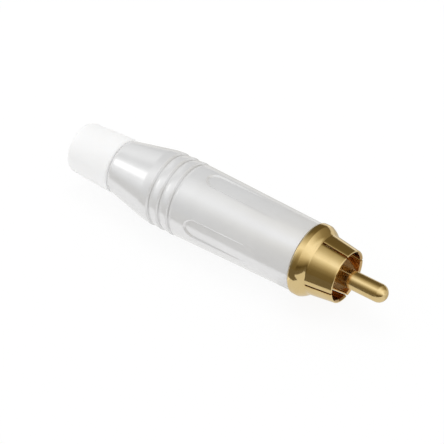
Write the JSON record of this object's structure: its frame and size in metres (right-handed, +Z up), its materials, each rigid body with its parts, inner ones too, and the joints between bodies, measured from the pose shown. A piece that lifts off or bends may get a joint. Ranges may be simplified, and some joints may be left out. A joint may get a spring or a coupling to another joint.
{
  "type": "rca plug",
  "caption": "Phono cable plug: gold pin and slotted ground sleeve on a satin metal shell that unscrews, with ring grooves, shallow grip pockets and a white cable boot.",
  "frame": {"origin": "middle of the pin's straight length, on the plug's axis", "axes": "+X along the plug's axis towards the pin, +Z up"},
  "size_m": [0.0629, 0.0136, 0.0136],
  "materials": {
    "satin_nickel": "satin nickel plate",
    "white_boot": "soft white plastic",
    "gold_plate": "bright gold plate",
    "gold_pin": "bright gold plate",
    "insulator_plastic": "turned white plastic",
    "tag_plate": "stamped and plated sheet",
    "liner_plastic": "thin white plastic tube"
  },
  "bodies": {
    "insert": {"ground_sleeve": "gold_plate", "centre_pin": "gold_pin", "pin_insulator": "insulator_plastic", "ground_tag": "tag_plate", "insulating_sleeve": "liner_plastic"},
    "boot": {"cable_boot": "white_boot"},
    "shell": {"shell": "satin_nickel"}
  },
  "joints": [
    {"name": "boot_slide", "type": "slide", "parent": "insert", "child": "boot", "axis": [-1, 0, 0], "range_m": [0, 0.006]},
    {"name": "shell_turn", "type": "hinge", "parent": "boot", "child": "shell", "pos_m": [0, 0, 0], "axis": [-1, 0, 0], "range_deg": [0, 2160]}
  ],
  "couplings": [
    {"joint": "boot_slide", "follows": "shell_turn", "m_per_rad": 0.00015915}
  ]
}
